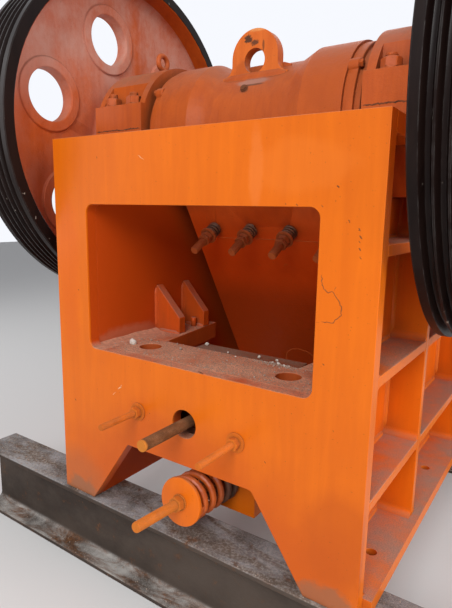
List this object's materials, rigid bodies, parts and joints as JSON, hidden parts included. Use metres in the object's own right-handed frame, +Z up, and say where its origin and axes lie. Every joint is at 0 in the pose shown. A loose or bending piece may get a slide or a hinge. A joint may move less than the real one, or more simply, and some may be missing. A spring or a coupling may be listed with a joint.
{
  "type": "jaw crusher",
  "caption": "Single-toggle jaw crusher on two support beams: welded ribbed frame, eccentric shaft with two grooved flywheels, swinging pitman, fixed jaw, toggle plate and sprung tension rod.",
  "frame": {"origin": "floor level under the two support beams, centred between the flywheels and front to back", "axes": "+Z up; +X along the eccentric shaft; +Y from the rear plate towards the feed and the fixed jaw"},
  "size_m": [1.9, 1.62, 1.884],
  "materials": {
    "painted_orange": "glossy enamel, dusty on top faces",
    "painted_black": "satin enamel",
    "worn_steel": "worn and dusty",
    "rusty_steel": "rusted thread",
    "dark_spring": "dark, dusty",
    "manganese": "worn casting",
    "weathered_beam": "weathered mill steel with rust and dust"
  },
  "bodies": {
    "frame": {"rear_wall": "painted_orange", "shelf_plate": "painted_orange", "beam_floor": "painted_orange", "guide_arms": "painted_orange", "guide_gussets": "painted_orange", "side_wall_left": "painted_orange", "side_wall_right": "painted_orange", "side_ribs": "painted_orange", "side_posts": "painted_orange", "base_flanges": "painted_orange", "bearing_saddles": "painted_orange", "bearing_cap_left": "painted_orange", "bearing_cap_right": "painted_orange", "bearing_covers": "painted_orange", "cap_bolts": "painted_orange", "cap_eyebolts": "painted_orange", "front_wall": "painted_orange", "front_ribs": "painted_orange", "front_posts": "painted_orange", "clamp_rods": "painted_orange", "spring_bracket": "painted_orange", "main_bearings": "worn_steel", "adjusting_block": "worn_steel", "toggle_plate": "worn_steel", "adjusting_screw": "rusty_steel", "tension_spring": "dark_spring", "fixed_jaw_plate": "manganese", "cheek_plates": "manganese", "support_beam_rear": "weathered_beam", "support_beam_front": "weathered_beam"},
    "rotor": {"eccentric_shaft": "worn_steel", "flywheel_left": "painted_orange", "flywheel_right": "painted_orange", "rim_left": "painted_black", "rim_right": "painted_black"},
    "swing_jaw": {"pitman": "painted_orange", "lifting_lug": "painted_orange", "barrel_covers": "painted_orange", "pitman_bearings": "worn_steel", "swing_jaw_plate": "manganese", "jaw_studs": "worn_steel", "stud_springs": "dark_spring", "toggle_seat": "worn_steel", "tension_rod": "painted_orange", "spring_disc": "painted_orange"}
  },
  "joints": [
    {"name": "flywheel_spin", "type": "hinge", "parent": "frame", "child": "rotor", "pos_m": [0, -0.206, 1.348], "axis": [1, 0, 0], "continuous": true, "deforming": ["tension_spring"]},
    {"name": "pitman_pivot", "type": "hinge", "parent": "rotor", "child": "swing_jaw", "pos_m": [0, -0.206, 1.338], "axis": [1, 0, 0], "continuous": true}
  ],
  "couplings": [
    {"joint": "pitman_pivot", "follows": "flywheel_spin", "ratio": -1}
  ]
}
